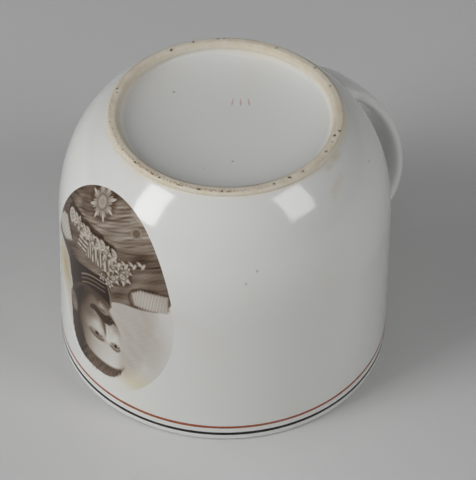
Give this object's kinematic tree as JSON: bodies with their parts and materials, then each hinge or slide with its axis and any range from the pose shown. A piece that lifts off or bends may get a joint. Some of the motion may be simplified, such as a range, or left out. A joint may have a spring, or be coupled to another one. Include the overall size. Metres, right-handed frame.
{
  "type": "ceramic mug",
  "caption": "Straight-walled porcelain mug with a rounded base and foot ring, an ear-shaped strap handle, an oval portrait transfer and two painted lines at the rim, stored upside down.",
  "frame": {"origin": "on the cup's axis, in the plane of its mouth, on which it stands upside down", "axes": "+Z along the cup's axis from the mouth to the foot ring, +Y towards the handle, -Y towards the portrait; turned by 180 degrees about X the cup stands on its foot"},
  "size_m": [0.0912, 0.1105, 0.078],
  "materials": {
    "bare_porcelain": "matt, worn and pitted",
    "slip": "matt",
    "clear_glaze": "glossy",
    "red_enamel": "satin",
    "black_enamel": "satin",
    "sepia_print": "glossy printed transfer",
    "mark_enamel": "thin brush strokes"
  },
  "bodies": {
    "root": {"cup_body": "bare_porcelain", "handle": "bare_porcelain", "slip_joint_foot": "slip", "slip_joint_rim": "slip", "outer_glaze": "clear_glaze", "inner_glaze": "clear_glaze", "foot_well_glaze": "clear_glaze", "handle_glaze": "clear_glaze", "red_line": "red_enamel", "black_line": "black_enamel", "portrait_transfer": "sepia_print", "painters_mark": "mark_enamel"}
  },
  "joints": []
}
